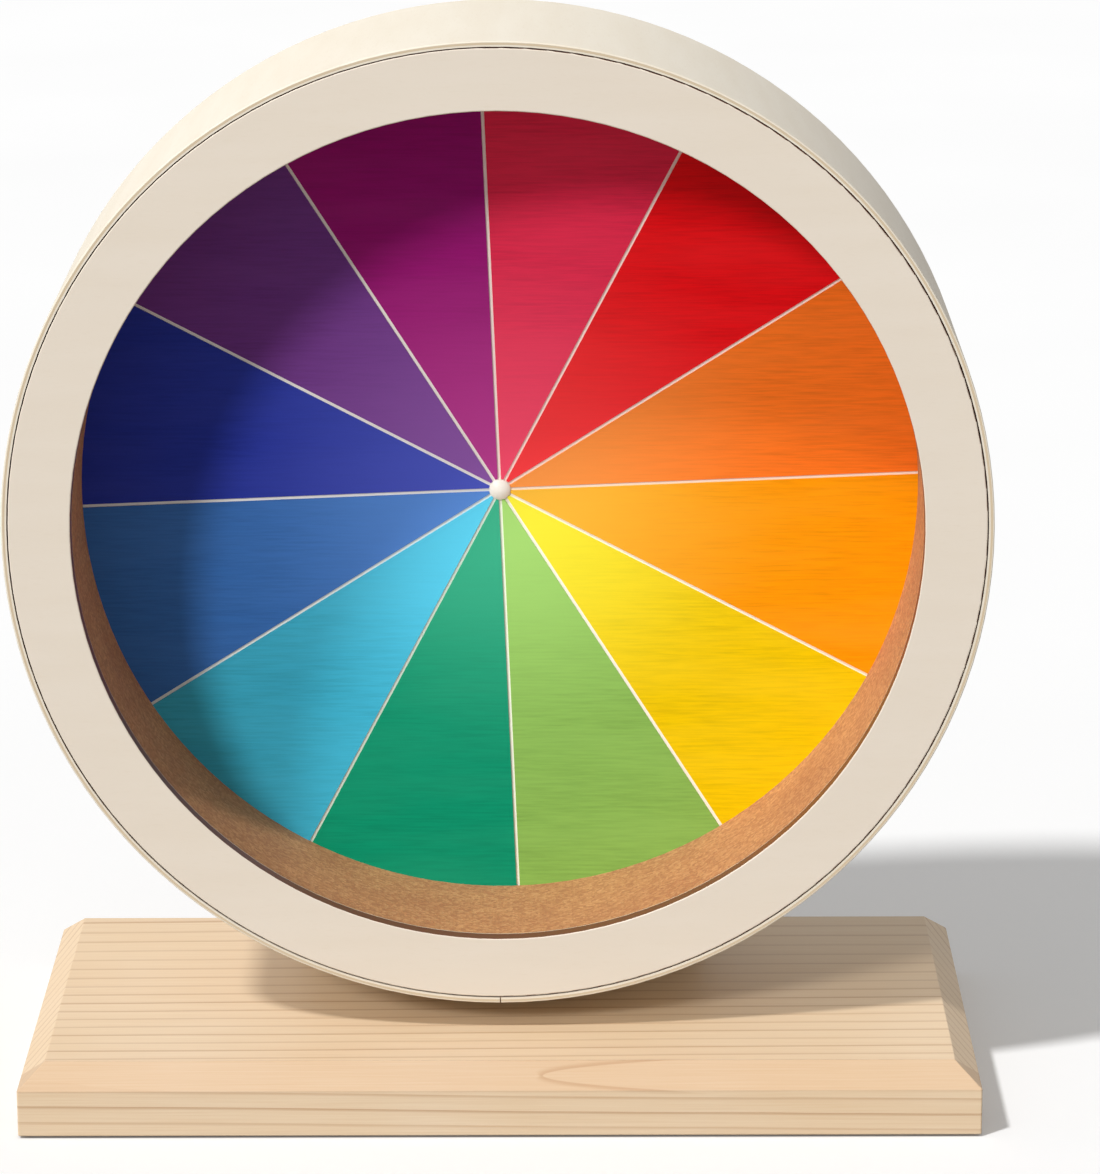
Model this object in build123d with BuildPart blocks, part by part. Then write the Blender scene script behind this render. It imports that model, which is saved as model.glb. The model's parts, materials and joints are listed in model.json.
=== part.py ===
from build123d import *
import math
import os

os.makedirs("parts", exist_ok=True)

# Drum, from the ring in front to the open recess behind the disc
wheel_diameter = 350.0
skin_wall = 2.0
double_wall_gap = 15.4
ring_thickness = 6.0
ring_lip = 1.9
running_width = 59.0
veneer_thickness = 0.6
disc_thickness = 6.0
rear_recess_depth = 24.4
hoop_width = 15.0
hoop_thickness = 6.0
edge_round = 0.5

# Track strip and the cork running surface glued inside it
cork_thickness = 2.0
track_wall = 3.0
track_groove_depth = 2.0

# Coloured sectors, clockwise from just right of twelve o'clock
sector_colours = [
    "crimson",
    "red",
    "vermilion",
    "orange",
    "yellow",
    "lime",
    "green",
    "cyan",
    "blue",
    "indigo",
    "violet",
    "magenta",
]
sector_gap = 1.2
sector_lean = 2.25

# Joints in the wood
glue_gap = 0.4
glue_line = 0.1
dowel_play = 0.1
seam_gap = 0.4
splice_width = 30.0
splice_wall = 2.0
rim_dowel_diameter = 10.0
rim_dowel_count = 8
rim_dowel_depth = 3.0

# Hub
boss_diameter = 72.0
boss_round = 2.0
coupling_wall = 4.0
coupling_flange_width = 8.0
coupling_flange_thickness = 3.0
coupling_boss_length = 9.4
coupling_screw_count = 4
coupling_screw_diameter = 3.5
coupling_screw_head = 5.6
coupling_screw_end_wall = 2.5
grub_screw_diameter = 4.0
front_collar_length = 4.0

# Axle and its hardware
axle_diameter = 8.0
axle_chamfer = 0.6
rear_washer_thickness = 2.0
nut_across_flats = 13.0
nut_hexagon_height = 4.9
nut_collar_height = 1.6
axle_end_stand_out = 1.0
hub_screw_diameter = 4.0
hub_screw_head = 5.6
hub_screw_head_height = 1.3
hub_screw_socket_depth = 0.7
hub_screw_reach = 9.0
hub_cap_rim = 0.98
hub_cap_side = 0.9
hub_cap_crown_wall = 0.9
slip_play = 0.02
thread_play = 0.05
hole_play = 0.2

# Ball bearings, two alike
race_wall = 2.0
race_gap = 3.0
bearing_width = 7.0
bearing_chamfer = 0.3
ball_diameter = 3.969
ball_count = 7
ball_play = 0.03
shield_thickness = 0.4
shield_seat = 0.6
shield_air = 0.35
cage_width = 1.5
cage_air = 0.3
cage_lip = 1.3
cage_web = 0.2555
cage_play = 0.06

# Bearing housing
housing_wall = 3.0
housing_flange_width = 9.0
housing_flange_thickness = 3.0
housing_shoulder = 1.4
housing_screw_count = 4
housing_screw_diameter = 3.5
housing_screw_head = 6.6
housing_screw_length = 14.0

# Base board and upright
base_width = 342.7
base_depth = 173.4
base_thickness = 25.0
bevel_width = 9.2
bevel_height = 7.9
base_edge_round = 0.6
wheel_over_base = 10.5
upright_thickness = 18.0
upright_rear_margin = 13.6
upright_to_drum = 6.0
upright_head_radius = 38.0
upright_foot_width = 152.0
upright_foot_height = 30.0
upright_round = 2.0
dado_depth = 6.0

# Fasteners and pads of the stand
stand_dowel_diameter = 8.0
stand_dowel_spacing = 60.0
stand_dowel_in_base = 12.0
stand_dowel_in_upright = 28.0
stand_screw_diameter = 4.5
stand_screw_head = 9.0
stand_screw_inset = 16.0
stand_screw_length = 50.0
pad_diameter = 18.0
pad_thickness = 2.0
pad_recess = 1.2
pad_inset = 21.0
pad_edge_round = 0.3

# Screws in general
screw_point_length = 3.0
screw_point_diameter = 0.8
screw_head_taper = 20.0
button_head_height = 1.8
socket_share = 0.5
socket_depth = 1.1

# Heights
pad_stand_proud = pad_thickness - pad_recess
base_top_z = pad_stand_proud + base_thickness
dado_floor_z = base_top_z - dado_depth
wheel_radius = wheel_diameter / 2
axle_height = base_top_z + wheel_over_base + wheel_radius

# Depths, worked forwards from the base's rear edge
upright_rear_y = base_depth / 2 - upright_rear_margin
upright_front_y = upright_rear_y - upright_thickness
upright_middle_y = (upright_front_y + upright_rear_y) / 2
drum_rear_y = upright_front_y - upright_to_drum
disc_rear_y = drum_rear_y - rear_recess_depth
disc_front_y = disc_rear_y - disc_thickness
veneer_front_y = disc_front_y - veneer_thickness
ring_rear_y = veneer_front_y - running_width
ring_front_y = ring_rear_y - ring_thickness
drum_depth = drum_rear_y - ring_front_y

# Hub stations between the disc and the front bearing
coupling_rear_y = upright_front_y - front_collar_length
coupling_flange_rear_y = coupling_rear_y - coupling_boss_length
boss_rear_y = coupling_flange_rear_y - coupling_flange_thickness
boss_thickness = boss_rear_y - disc_rear_y

# Bearing stations, the housing being flush with the upright in front
housing_rear_y = upright_rear_y + housing_flange_thickness
rear_bearing_y = housing_rear_y - bearing_width
inner_spacer_y = upright_front_y + bearing_width
inner_spacer_length = rear_bearing_y - inner_spacer_y
nut_front_y = housing_rear_y + rear_washer_thickness
nut_rear_y = nut_front_y + nut_hexagon_height + nut_collar_height
axle_rear_y = nut_rear_y + axle_end_stand_out

# Radii of the drum's layers, from the skin inwards
skin_inner_radius = wheel_radius - skin_wall
rim_radius = skin_inner_radius - glue_gap
track_outer_radius = skin_inner_radius - double_wall_gap
track_inner_radius = track_outer_radius - track_wall
cork_outer_radius = track_inner_radius - glue_line
cork_inner_radius = cork_outer_radius - cork_thickness
ring_opening_radius = cork_inner_radius - ring_lip
rim_dowel_circle_radius = (track_outer_radius + skin_inner_radius) / 2

# Radii of the bearings, from the axle outwards
axle_radius = axle_diameter / 2
axle_bore_radius = axle_radius + slip_play
inner_race_radius = axle_radius + race_wall
outer_race_radius = inner_race_radius + race_gap
bearing_radius = outer_race_radius + race_wall
ball_circle_radius = (inner_race_radius + outer_race_radius) / 2
ball_radius = ball_diameter / 2
cage_reach = ball_radius + cage_play + cage_web
shield_recess = bearing_width / 2 - cage_reach - cage_air

# Radii of the coupling, the housing and the hub cap
coupling_boss_radius = axle_radius + coupling_wall
coupling_flange_radius = coupling_boss_radius + coupling_flange_width
coupling_screw_circle = coupling_boss_radius + coupling_flange_radius
housing_sleeve_radius = bearing_radius + housing_wall
housing_flange_radius = housing_sleeve_radius + housing_flange_width
housing_screw_circle = housing_sleeve_radius + housing_flange_radius
hub_cap_bore_radius = hub_screw_head / 2 + slip_play
hub_cap_radius = hub_cap_bore_radius + hub_cap_rim

# Places of the fasteners and pads under the base
stand_screw_reach = upright_foot_width / 2 - stand_screw_inset
stand_screw_xs = [-stand_screw_reach, 0, stand_screw_reach]
stand_dowel_xs = [-stand_dowel_spacing / 2, stand_dowel_spacing / 2]
pad_x = base_width / 2 - pad_inset
pad_y = base_depth / 2 - pad_inset
pad_places = [(side * pad_x, end * pad_y) for side in (-1, 1) for end in (-1, 1)]

axle_line = Axis((0, 0, axle_height), (0, 1, 0))


def across_axle(y):
    """Plane square to the axle at depth y: x right, y down, extruding rearwards."""
    return Plane(origin=(0, y, axle_height), x_dir=(1, 0, 0), z_dir=(0, 1, 0))


def along_axle():
    """Plane that holds the axle: x is depth, y is height above the axle."""
    return Plane(origin=(0, 0, axle_height), x_dir=(0, 1, 0), z_dir=(1, 0, 0))


def standing(y):
    """Plane of the stand at depth y: x right, y up from the floor, extruding forwards."""
    return Plane(origin=(0, y, 0), x_dir=(1, 0, 0), z_dir=(0, -1, 0))


def round_the_axle(circle_diameter, count, start=0.0):
    """Places evenly round the axle, in the coordinates of a plane across it."""
    places = []
    for number in range(count):
        angle = math.radians(start + 360 * number / count)
        places.append((circle_diameter / 2 * math.cos(angle), circle_diameter / 2 * math.sin(angle)))
    return places


def drill(plane, places, diameter, depth):
    """Cut round holes into the piece being made, from the plane along its normal."""
    with BuildSketch(plane) as holes:
        with Locations(*places):
            Circle(diameter / 2)
    extrude(holes.sketch, amount=depth, mode=Mode.SUBTRACT)


def save(builder, name):
    """Label a finished piece and write it under its node's name."""
    builder.part.label = name
    export_step(builder.part, f"parts/{name}.step")


def make_collar(name, front_y, length, inner_radius, outer_radius):
    """Plain round collar on the axle line."""
    with BuildPart() as collar:
        with BuildSketch(across_axle(front_y)):
            Circle(outer_radius)
            Circle(inner_radius, mode=Mode.SUBTRACT)
        extrude(amount=length)
    save(collar, name)


def make_bent_strip(name, front_y, length, inner_radius, outer_radius, seam_side, rounded=False):
    """Strip bent round until its ends almost meet, with the seam below (1) or above (-1) the axle."""
    wall = outer_radius - inner_radius
    with BuildPart() as strip:
        with BuildSketch(across_axle(front_y)):
            Circle(outer_radius)
            Circle(inner_radius, mode=Mode.SUBTRACT)
            with Locations((0, seam_side * (inner_radius + wall / 2))):
                Rectangle(seam_gap, 2 * wall, mode=Mode.SUBTRACT)
        extrude(amount=length)
        if rounded:
            rims = strip.edges().filter_by(GeomType.CIRCLE).group_by(SortBy.RADIUS)[-1]
            fillet(rims, min(edge_round, wall / 3))
    save(strip, name)


def make_screws(name, seat, places, diameter, length, head_diameter):
    """Wood screws with socket button heads on the seat plane and pointed shanks under it."""
    shank_length = length - screw_point_length
    taper = math.degrees(math.atan2((diameter - screw_point_diameter) / 2, screw_point_length))
    with BuildPart() as screws:
        with BuildSketch(seat):
            with Locations(*places):
                Circle(head_diameter / 2)
        extrude(amount=button_head_height, taper=screw_head_taper)
        with BuildSketch(seat):
            with Locations(*places):
                Circle(diameter / 2)
        extrude(amount=-shank_length)
        with BuildSketch(seat.offset(-shank_length)):
            with Locations(*places):
                Circle(diameter / 2)
        extrude(amount=-screw_point_length, taper=taper)
        with BuildSketch(seat.offset(button_head_height)):
            with Locations(*places):
                RegularPolygon(socket_share * diameter, 6)
        extrude(amount=-socket_depth, mode=Mode.SUBTRACT)
    save(screws, name)


# Front ring, with the groove for the track strip and the blind dowel holes in its back
rim_dowel_places = round_the_axle(2 * rim_dowel_circle_radius, rim_dowel_count, 180 / rim_dowel_count)
with BuildPart() as front_ring:
    with BuildSketch(across_axle(ring_front_y)):
        Circle(rim_radius)
        Circle(ring_opening_radius, mode=Mode.SUBTRACT)
    extrude(amount=ring_thickness)
    fillet(front_ring.faces().sort_by(Axis.Y)[0].edges(), edge_round)
    with BuildSketch(across_axle(ring_rear_y - track_groove_depth)):
        Circle(track_outer_radius + glue_line)
        Circle(track_inner_radius - glue_line, mode=Mode.SUBTRACT)
    extrude(amount=track_groove_depth, mode=Mode.SUBTRACT)
    drill(
        across_axle(ring_rear_y - rim_dowel_depth),
        rim_dowel_places,
        rim_dowel_diameter + 2 * dowel_play,
        rim_dowel_depth,
    )
save(front_ring, "front_ring")

# Drum skin, seam below, and the splice strip glued behind that seam
make_bent_strip("outer_skin", ring_front_y, drum_depth, skin_inner_radius, wheel_radius, 1, rounded=True)
with BuildPart() as skin_splice:
    with BuildSketch(across_axle(ring_rear_y)):
        Circle(skin_inner_radius - glue_line)
        Circle(skin_inner_radius - glue_line - splice_wall, mode=Mode.SUBTRACT)
        with Locations((0, skin_inner_radius)):
            Rectangle(splice_width, wheel_radius, mode=Mode.INTERSECT)
    extrude(amount=disc_front_y - ring_rear_y)
save(skin_splice, "skin_splice")

# Track strip between ring and disc, and its cork lining
track_front_y = ring_rear_y - track_groove_depth
track_length = disc_front_y + track_groove_depth - track_front_y
make_bent_strip("track_strip", track_front_y, track_length, track_inner_radius, track_outer_radius, -1)
make_bent_strip("cork_liner", ring_rear_y, running_width, cork_inner_radius, cork_outer_radius, -1)

# Back disc
with BuildPart() as back_disc:
    with BuildSketch(across_axle(disc_front_y)):
        Circle(rim_radius)
        Circle(hub_screw_diameter / 2 + hole_play, mode=Mode.SUBTRACT)
    extrude(amount=disc_thickness)
    with BuildSketch(across_axle(disc_front_y)):
        Circle(track_outer_radius + glue_line)
        Circle(track_inner_radius - glue_line, mode=Mode.SUBTRACT)
    extrude(amount=track_groove_depth, mode=Mode.SUBTRACT)
    drill(
        across_axle(disc_front_y),
        rim_dowel_places,
        rim_dowel_diameter + 2 * dowel_play,
        rim_dowel_depth,
    )
save(back_disc, "back_disc")

# Twelve veneer sectors, parted by straight gaps that show the pale disc
veneer_radius = track_inner_radius - 2 * glue_line
sector_angle = 360 / len(sector_colours)
for number, colour in enumerate(sector_colours):
    middle = math.radians(-90 - sector_lean + (number + 0.5) * sector_angle)
    side = math.radians(sector_angle / 2)
    tip_reach = sector_gap / 2 / math.sin(side)
    tip = (tip_reach * math.cos(middle), tip_reach * math.sin(middle))
    wedge = [tip]
    for angle in (middle - side, middle + side):
        wedge.append((tip[0] + wheel_radius * math.cos(angle), tip[1] + wheel_radius * math.sin(angle)))
    with BuildPart() as sector:
        with BuildSketch(across_axle(veneer_front_y)):
            Circle(veneer_radius)
            Circle(hub_cap_radius + hole_play, mode=Mode.SUBTRACT)
            with BuildLine():
                Polyline(*wedge, close=True)
            make_face(mode=Mode.INTERSECT)
        extrude(amount=veneer_thickness)
    save(sector, f"{colour}_sector")

# Dowels that tie ring and disc together
with BuildPart() as rim_dowels:
    with BuildSketch(across_axle(ring_rear_y - rim_dowel_depth)):
        with Locations(*rim_dowel_places):
            Circle(rim_dowel_diameter / 2)
    extrude(amount=disc_front_y - ring_rear_y + 2 * rim_dowel_depth)
save(rim_dowels, "rim_dowels")

# Hoop inside the drum's rear edge
with BuildPart() as rear_hoop:
    with BuildSketch(across_axle(drum_rear_y - hoop_thickness)):
        Circle(rim_radius)
        Circle(rim_radius - hoop_width, mode=Mode.SUBTRACT)
    extrude(amount=hoop_thickness)
    fillet(rear_hoop.faces().sort_by(Axis.Y)[-1].edges(), edge_round)
save(rear_hoop, "rear_hoop")

# Hub boss behind the disc, bored for the axle and drilled for the coupling's screws
coupling_screw_places = round_the_axle(coupling_screw_circle, coupling_screw_count, 45)
coupling_screw_length = coupling_flange_thickness + boss_thickness - coupling_screw_end_wall
with BuildPart() as hub_boss:
    with BuildSketch(across_axle(disc_rear_y)):
        Circle(boss_diameter / 2)
        Circle(axle_bore_radius + hole_play, mode=Mode.SUBTRACT)
    extrude(amount=boss_thickness)
    rims = hub_boss.faces().sort_by(Axis.Y)[-1].edges().sort_by(SortBy.LENGTH)
    fillet(rims[-1], min(boss_round, boss_thickness / 3))
    drill(
        across_axle(disc_rear_y + coupling_screw_end_wall - thread_play),
        coupling_screw_places,
        coupling_screw_diameter + 2 * thread_play,
        boss_thickness,
    )
save(hub_boss, "hub_boss")

# Flange coupling, with two grub screws square to each other in its boss
grub_y = (coupling_flange_rear_y + coupling_rear_y) / 2
grub_planes = [
    Plane(origin=(0, grub_y, axle_height), x_dir=(0, 1, 0), z_dir=(1, 0, 0)),
    Plane(origin=(0, grub_y, axle_height), x_dir=(0, 1, 0), z_dir=(0, 0, -1)),
]
with BuildPart() as flange_coupling:
    with BuildSketch(across_axle(boss_rear_y)):
        Circle(coupling_flange_radius)
    extrude(amount=coupling_flange_thickness)
    with BuildSketch(across_axle(coupling_flange_rear_y)):
        Circle(coupling_boss_radius)
    extrude(amount=coupling_boss_length)
    drill(across_axle(boss_rear_y), [(0, 0)], 2 * axle_bore_radius, coupling_rear_y - boss_rear_y)
    drill(
        across_axle(boss_rear_y),
        coupling_screw_places,
        coupling_screw_diameter + 2 * hole_play,
        coupling_flange_thickness,
    )
    for plane in grub_planes:
        drill(plane, [(0, 0)], grub_screw_diameter + 2 * thread_play, coupling_boss_radius)
save(flange_coupling, "flange_coupling")

with BuildPart() as grub_screws:
    for plane in grub_planes:
        with BuildSketch(plane.offset(axle_bore_radius)):
            Circle(grub_screw_diameter / 2)
        extrude(amount=coupling_boss_radius - axle_bore_radius)
        with BuildSketch(plane.offset(coupling_boss_radius)):
            RegularPolygon(socket_share * grub_screw_diameter / 2, 6)
        extrude(amount=-socket_depth, mode=Mode.SUBTRACT)
save(grub_screws, "grub_screws")

make_screws(
    "coupling_screws",
    across_axle(coupling_flange_rear_y),
    coupling_screw_places,
    coupling_screw_diameter,
    coupling_screw_length,
    coupling_screw_head,
)

# Axle, tapped at the front for the hub screw
with BuildPart() as axle_shaft:
    with BuildSketch(across_axle(disc_rear_y)):
        Circle(axle_radius)
    extrude(amount=axle_rear_y - disc_rear_y)
    chamfer(axle_shaft.faces().sort_by(Axis.Y)[-1].edges(), axle_chamfer)
    drill(
        across_axle(disc_rear_y),
        [(0, 0)],
        hub_screw_diameter + 2 * thread_play,
        hub_screw_reach + hole_play,
    )
save(axle_shaft, "axle_shaft")

# Hub screw through the disc into the axle, and the domed cap over its head
with BuildPart() as hub_screw:
    with BuildSketch(across_axle(disc_front_y)):
        Circle(hub_screw_head / 2)
    extrude(amount=-hub_screw_head_height, taper=screw_head_taper)
    with BuildSketch(across_axle(disc_front_y)):
        Circle(hub_screw_diameter / 2)
    extrude(amount=disc_thickness + hub_screw_reach)
    with BuildSketch(across_axle(disc_front_y - hub_screw_head_height)):
        RegularPolygon(socket_share * hub_screw_diameter / 2, 6)
    extrude(amount=hub_screw_socket_depth, mode=Mode.SUBTRACT)
save(hub_screw, "hub_screw")

hub_cap_inside = hub_screw_head_height + slip_play
hub_cap_side_y = disc_front_y - hub_cap_side
hub_cap_crown_y = disc_front_y - hub_cap_inside - hub_cap_crown_wall
with BuildPart() as hub_cap:
    with BuildSketch(along_axle()):
        with BuildLine():
            TangentArc((hub_cap_crown_y, 0), (hub_cap_side_y, hub_cap_radius), tangent=(0, 1))
            Polyline(
                (hub_cap_side_y, hub_cap_radius),
                (disc_front_y, hub_cap_radius),
                (disc_front_y, 0),
                (hub_cap_crown_y, 0),
            )
        make_face()
    revolve(axis=axle_line)
    drill(across_axle(disc_front_y - hub_cap_inside), [(0, 0)], 2 * hub_cap_bore_radius, hub_cap_inside)
save(hub_cap, "hub_cap")

# Collars, washer and lock nut that clamp the inner races, the collars as wide as a race
make_collar("front_collar", coupling_rear_y, front_collar_length, axle_bore_radius, inner_race_radius)
make_collar("inner_spacer", inner_spacer_y, inner_spacer_length, axle_bore_radius, inner_race_radius)
make_collar("rear_washer", housing_rear_y, rear_washer_thickness, axle_bore_radius, inner_race_radius)
with BuildPart() as lock_nut:
    with BuildSketch(across_axle(nut_front_y)):
        RegularPolygon(nut_across_flats / 2, 6, major_radius=False)
    extrude(amount=nut_hexagon_height)
    with BuildSketch(across_axle(nut_front_y + nut_hexagon_height)):
        Circle(nut_across_flats / 2)
    extrude(amount=nut_collar_height, taper=screw_head_taper)
    drill(across_axle(nut_front_y), [(0, 0)], axle_diameter + 2 * thread_play, nut_rear_y - nut_front_y)
save(lock_nut, "lock_nut")


def make_bearing(end, front_y):
    """Shielded ball bearing whose front face is at front_y: races, shields, balls and cage."""
    middle_y = front_y + bearing_width / 2
    rear_y = front_y + bearing_width
    with BuildPart() as inner_race:
        with BuildSketch(along_axle()):
            with Locations((middle_y, (axle_bore_radius + inner_race_radius) / 2)):
                Rectangle(bearing_width, inner_race_radius - axle_bore_radius)
            with Locations((middle_y, ball_circle_radius)):
                Circle(ball_radius + ball_play, mode=Mode.SUBTRACT)
        revolve(axis=axle_line)
    save(inner_race, f"{end}_bearing_inner_race")

    shield_seat_radius = outer_race_radius + shield_seat
    with BuildPart() as outer_race:
        with BuildSketch(along_axle()):
            with Locations((middle_y, (outer_race_radius + bearing_radius) / 2)):
                Rectangle(bearing_width, bearing_radius - outer_race_radius)
            with Locations((middle_y, ball_circle_radius)):
                Circle(ball_radius + ball_play, mode=Mode.SUBTRACT)
            with Locations(
                (front_y + shield_recess / 2, shield_seat_radius - shield_seat / 2),
                (rear_y - shield_recess / 2, shield_seat_radius - shield_seat / 2),
            ):
                Rectangle(shield_recess, shield_seat, mode=Mode.SUBTRACT)
        revolve(axis=axle_line)
        outside = outer_race.edges().filter_by(GeomType.CIRCLE).group_by(SortBy.RADIUS)[-1]
        chamfer(outside, bearing_chamfer)
    save(outer_race, f"{end}_bearing_outer_race")

    with BuildPart() as shields:
        shield_fronts = (front_y + shield_recess - shield_thickness, rear_y - shield_recess)
        for shield_y in shield_fronts:
            with BuildSketch(across_axle(shield_y)):
                Circle(shield_seat_radius - slip_play)
                Circle(inner_race_radius + shield_air, mode=Mode.SUBTRACT)
            extrude(amount=shield_thickness)
    save(shields, f"{end}_bearing_shields")

    with BuildPart() as balls:
        with Locations(across_axle(middle_y)):
            with PolarLocations(ball_circle_radius, ball_count):
                Sphere(ball_radius)
    save(balls, f"{end}_bearing_balls")

    with BuildPart() as cage:
        with BuildSketch(across_axle(middle_y - cage_lip)):
            Circle(ball_circle_radius + cage_width / 2)
            Circle(ball_circle_radius - cage_width / 2, mode=Mode.SUBTRACT)
        extrude(amount=cage_lip + cage_reach)
        with Locations(across_axle(middle_y)):
            with PolarLocations(ball_circle_radius, ball_count):
                Sphere(ball_radius + cage_play, mode=Mode.SUBTRACT)
    save(cage, f"{end}_bearing_cage")


make_bearing("front", upright_front_y)
make_bearing("rear", rear_bearing_y)

# Bearing housing: flanged sleeve with a shoulder between the two bearing seats
housing_screw_places = round_the_axle(housing_screw_circle, housing_screw_count, 45)
bearing_seat_diameter = 2 * (bearing_radius + slip_play)
with BuildPart() as bearing_housing:
    with BuildSketch(across_axle(upright_front_y)):
        Circle(housing_sleeve_radius)
    extrude(amount=housing_rear_y - upright_front_y)
    with BuildSketch(across_axle(upright_rear_y)):
        Circle(housing_flange_radius)
    extrude(amount=housing_flange_thickness)
    flange_rims = bearing_housing.edges().filter_by(GeomType.CIRCLE).group_by(SortBy.RADIUS)[-1]
    fillet(flange_rims.sort_by(Axis.Y)[-1], edge_round)
    drill(
        across_axle(upright_front_y),
        [(0, 0)],
        2 * (bearing_radius - housing_shoulder),
        housing_rear_y - upright_front_y,
    )
    drill(across_axle(upright_front_y), [(0, 0)], bearing_seat_diameter, bearing_width)
    drill(across_axle(rear_bearing_y), [(0, 0)], bearing_seat_diameter, bearing_width)
    drill(
        across_axle(upright_rear_y),
        housing_screw_places,
        housing_screw_diameter + 2 * hole_play,
        housing_flange_thickness,
    )
save(bearing_housing, "bearing_housing")

make_screws(
    "housing_screws",
    across_axle(housing_rear_y),
    housing_screw_places,
    housing_screw_diameter,
    housing_screw_length,
    housing_screw_head,
)


def draw_bevelled_end(width):
    """Outline of the base board's end view: square below, bevelled above."""
    half = width / 2
    shoulder_z = base_top_z - bevel_height
    with BuildLine() as outline:
        Polyline(
            (-half, pad_stand_proud),
            (half, pad_stand_proud),
            (half, shoulder_z),
            (half - bevel_width, base_top_z),
            (-half + bevel_width, base_top_z),
            (-half, shoulder_z),
            close=True,
        )
    return outline.line


# Base board, bevelled on four sides, with the dado for the upright
base_bottom = Plane.XY.offset(pad_stand_proud)
stand_screw_places = [(x, upright_middle_y) for x in stand_screw_xs]
stand_dowel_places = [(x, upright_middle_y) for x in stand_dowel_xs]
stand_screw_head_height = (stand_screw_head - stand_screw_diameter) / 2
with BuildPart() as base_board:
    with BuildSketch(Plane.XZ):
        make_face(draw_bevelled_end(base_width).edges())
    extrude(amount=base_depth / 2, both=True)
    with BuildSketch(Plane.YZ):
        make_face(draw_bevelled_end(base_depth).edges())
    extrude(amount=base_width / 2, both=True, mode=Mode.INTERSECT)
    fillet(base_board.edges(), base_edge_round)
    with BuildSketch(Plane.XY.offset(dado_floor_z)):
        with Locations((0, upright_middle_y)):
            Rectangle(upright_foot_width + 2 * glue_line, upright_thickness + 2 * glue_line)
    extrude(amount=dado_depth, mode=Mode.SUBTRACT)
    drill(
        Plane.XY.offset(dado_floor_z - stand_dowel_in_base),
        stand_dowel_places,
        stand_dowel_diameter + 2 * dowel_play,
        stand_dowel_in_base,
    )
    drill(base_bottom, stand_screw_places, stand_screw_diameter + 2 * hole_play, base_thickness)
    with BuildSketch(base_bottom):
        with Locations(*stand_screw_places):
            Circle(stand_screw_head / 2 + hole_play)
    extrude(amount=stand_screw_head_height, taper=45, mode=Mode.SUBTRACT)
    drill(base_bottom, pad_places, pad_diameter + 2 * dowel_play, pad_recess)
save(base_board, "base_board")

# Upright plate behind the wheel
with BuildPart() as upright:
    with BuildSketch(standing(upright_front_y)):
        with Locations((0, axle_height)):
            Circle(upright_head_radius)
        with Locations((0, dado_floor_z + upright_foot_height / 2)):
            Rectangle(upright_foot_width, upright_foot_height)
        make_hull()
    extrude(amount=-upright_thickness)
    rims = upright.faces().filter_by(Axis.Y).edges()
    fillet(rims.filter_by(lambda edge: edge.center().Z > base_top_z), upright_round)
    drill(
        across_axle(upright_front_y),
        [(0, 0)],
        2 * (housing_sleeve_radius + glue_line),
        upright_thickness,
    )
    drill(
        across_axle(housing_rear_y - housing_screw_length - thread_play),
        housing_screw_places,
        housing_screw_diameter + 2 * thread_play,
        housing_screw_length,
    )
    drill(
        Plane.XY.offset(dado_floor_z),
        stand_dowel_places,
        stand_dowel_diameter + 2 * dowel_play,
        stand_dowel_in_upright,
    )
    drill(
        Plane.XY.offset(dado_floor_z),
        stand_screw_places,
        stand_screw_diameter + 2 * thread_play,
        pad_stand_proud + stand_screw_length + thread_play - dado_floor_z,
    )
save(upright, "upright")

# Dowels between base and upright
with BuildPart() as upright_dowels:
    with BuildSketch(Plane.XY.offset(dado_floor_z - stand_dowel_in_base)):
        with Locations(*stand_dowel_places):
            Circle(stand_dowel_diameter / 2)
    extrude(amount=stand_dowel_in_base + stand_dowel_in_upright)
save(upright_dowels, "upright_dowels")

# Countersunk screws up through the base into the upright
with BuildPart() as upright_screws:
    shank_length = stand_screw_length - screw_point_length
    point_taper = math.degrees(
        math.atan2((stand_screw_diameter - screw_point_diameter) / 2, screw_point_length)
    )
    with BuildSketch(base_bottom):
        with Locations(*stand_screw_places):
            Circle(stand_screw_diameter / 2)
    extrude(amount=shank_length)
    with BuildSketch(base_bottom):
        with Locations(*stand_screw_places):
            Circle(stand_screw_head / 2)
    extrude(amount=stand_screw_head_height, taper=45)
    with BuildSketch(base_bottom.offset(shank_length)):
        with Locations(*stand_screw_places):
            Circle(stand_screw_diameter / 2)
    extrude(amount=screw_point_length, taper=point_taper)
    with BuildSketch(base_bottom):
        with Locations(*stand_screw_places):
            RegularPolygon(socket_share * stand_screw_diameter, 6)
    extrude(amount=socket_depth, mode=Mode.SUBTRACT)
save(upright_screws, "upright_screws")

# Rubber pads let into the underside
with BuildPart() as non_slip_pads:
    with BuildSketch(Plane.XY):
        with Locations(*pad_places):
            Circle(pad_diameter / 2)
    extrude(amount=pad_thickness)
    fillet(non_slip_pads.edges().group_by(Axis.Z)[0], pad_edge_round)
save(non_slip_pads, "non_slip_pads")

print("axle height", axle_height, "drum depth", drum_depth, "ring front", ring_front_y)
print("hub boss thickness", round(boss_thickness, 3), "inner spacer", round(inner_spacer_length, 3))
print("axle end behind the upright", round(axle_rear_y - upright_rear_y, 3))
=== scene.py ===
# %% [markdown]
# # A wooden exercise wheel
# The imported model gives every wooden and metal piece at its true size. This lesson dresses it: first the
# camera and the light of a plain studio, then one finish for each real material, then the small hardware
# whose threads, sockets and chamfers are too fine for the plain solids.

# %% Load the fixed frame
import json
from math import cos, pi, radians, sin

import bpy
from mathutils import Matrix, Vector


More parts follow.
